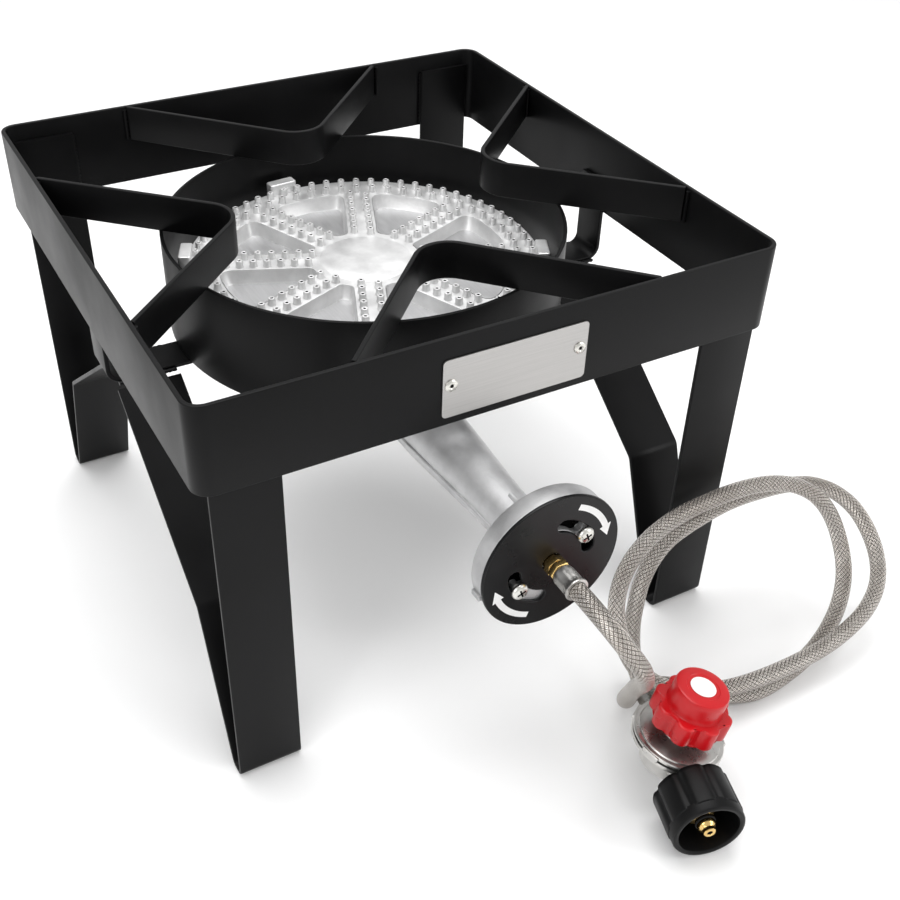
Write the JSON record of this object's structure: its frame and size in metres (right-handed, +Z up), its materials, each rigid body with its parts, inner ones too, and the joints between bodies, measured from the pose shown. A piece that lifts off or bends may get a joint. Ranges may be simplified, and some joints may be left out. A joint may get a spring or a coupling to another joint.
{
  "type": "propane burner stand",
  "caption": "Square black steel burner stand on bent strip legs, with a round cast gas burner, an air shutter, and a braided hose to a cylinder regulator with a red knob.",
  "frame": {"origin": "on the floor under the middle of the stand's length, which runs from the gas inlet in front to the back of the square rim", "axes": "+Z up, +X to the right and -Y towards the person at the gas inlet, the side with the name plate and the air shutter"},
  "size_m": [0.5012, 0.5963, 0.305],
  "materials": {
    "black_steel": "satin black powder coat",
    "bright_steel": "brushed or zinc-plated steel",
    "cast_aluminium": "bare casting, ground on its top face",
    "black_disc": "gloss black, with bare white arrows",
    "brass": "bright turned brass",
    "die_cast_zinc": "tumbled die casting and fluted plated ferrules",
    "hose_braid": "woven steel braid over a rubber hose",
    "red_plastic": "semi-gloss moulded plastic",
    "white_label": "blank sticker",
    "black_plastic": "semi-gloss moulded plastic",
    "black_rubber": "plain rubber"
  },
  "bodies": {
    "stand": {"frame_band": "black_steel", "wind_guard_ring": "black_steel", "pot_support_front": "black_steel", "pot_support_right": "black_steel", "pot_support_back": "black_steel", "pot_support_left": "black_steel", "burner_crossbar": "black_steel", "leg_front_left": "black_steel", "leg_back_left": "black_steel", "leg_front_right": "black_steel", "leg_back_right": "black_steel", "name_plate": "bright_steel", "plate_rivet_left": "bright_steel", "plate_rivet_right": "bright_steel", "mount_washer": "bright_steel", "mount_bolt": "bright_steel", "shutter_screw_right": "bright_steel", "shutter_screw_left": "bright_steel", "regulator_spring": "bright_steel", "burner_bowl": "cast_aluminium", "burner_jet_plate": "cast_aluminium", "orifice_spud": "brass", "hose_flare_nut": "brass", "inlet_nipple": "brass", "hose_ferrule_burner": "die_cast_zinc", "hose_ferrule_regulator": "die_cast_zinc", "regulator_body": "die_cast_zinc", "regulator_bonnet": "die_cast_zinc", "hose": "hose_braid", "diaphragm": "black_rubber", "nipple_seal": "black_rubber"},
    "air_shutter": {"air_shutter_disc": "black_disc"},
    "screw_carriage": {"spring_button": "bright_steel"},
    "knob": {"regulator_knob": "red_plastic", "knob_label": "white_label", "adjusting_screw": "brass"},
    "valve": {"diaphragm_plate": "bright_steel", "valve_poppet": "brass"},
    "nut": {"cylinder_nut": "black_plastic"}
  },
  "joints": [
    {"name": "shutter_turn", "type": "hinge", "parent": "stand", "child": "air_shutter", "pos_m": [0, -0.223, 0.161], "axis": [0, -1, 0], "range_deg": [-44, 26]},
    {"name": "screw_travel", "type": "slide", "parent": "stand", "child": "screw_carriage", "axis": [0.2157, -0.0639, 0.9744], "range_m": [-0.005, 0], "deforming": ["regulator_spring"]},
    {"name": "knob_turn", "type": "hinge", "parent": "screw_carriage", "child": "knob", "pos_m": [0.061, -0.2955, 0.0255], "axis": [0.2157, -0.0639, 0.9744], "range_deg": [-1440, 0]},
    {"name": "valve_lift", "type": "slide", "parent": "stand", "child": "valve", "axis": [0.2157, -0.0639, 0.9744], "range_m": [-0.0008, 0], "deforming": ["diaphragm"]},
    {"name": "nut_spin", "type": "hinge", "parent": "stand", "child": "nut", "pos_m": [0.061, -0.2955, 0.0255], "axis": [-0.284, -0.9588, 0], "continuous": true}
  ],
  "couplings": [
    {"joint": "screw_travel", "follows": "knob_turn", "m_per_rad": 0.0001989},
    {"joint": "valve_lift", "follows": "knob_turn", "m_per_rad": 0.0000318}
  ]
}
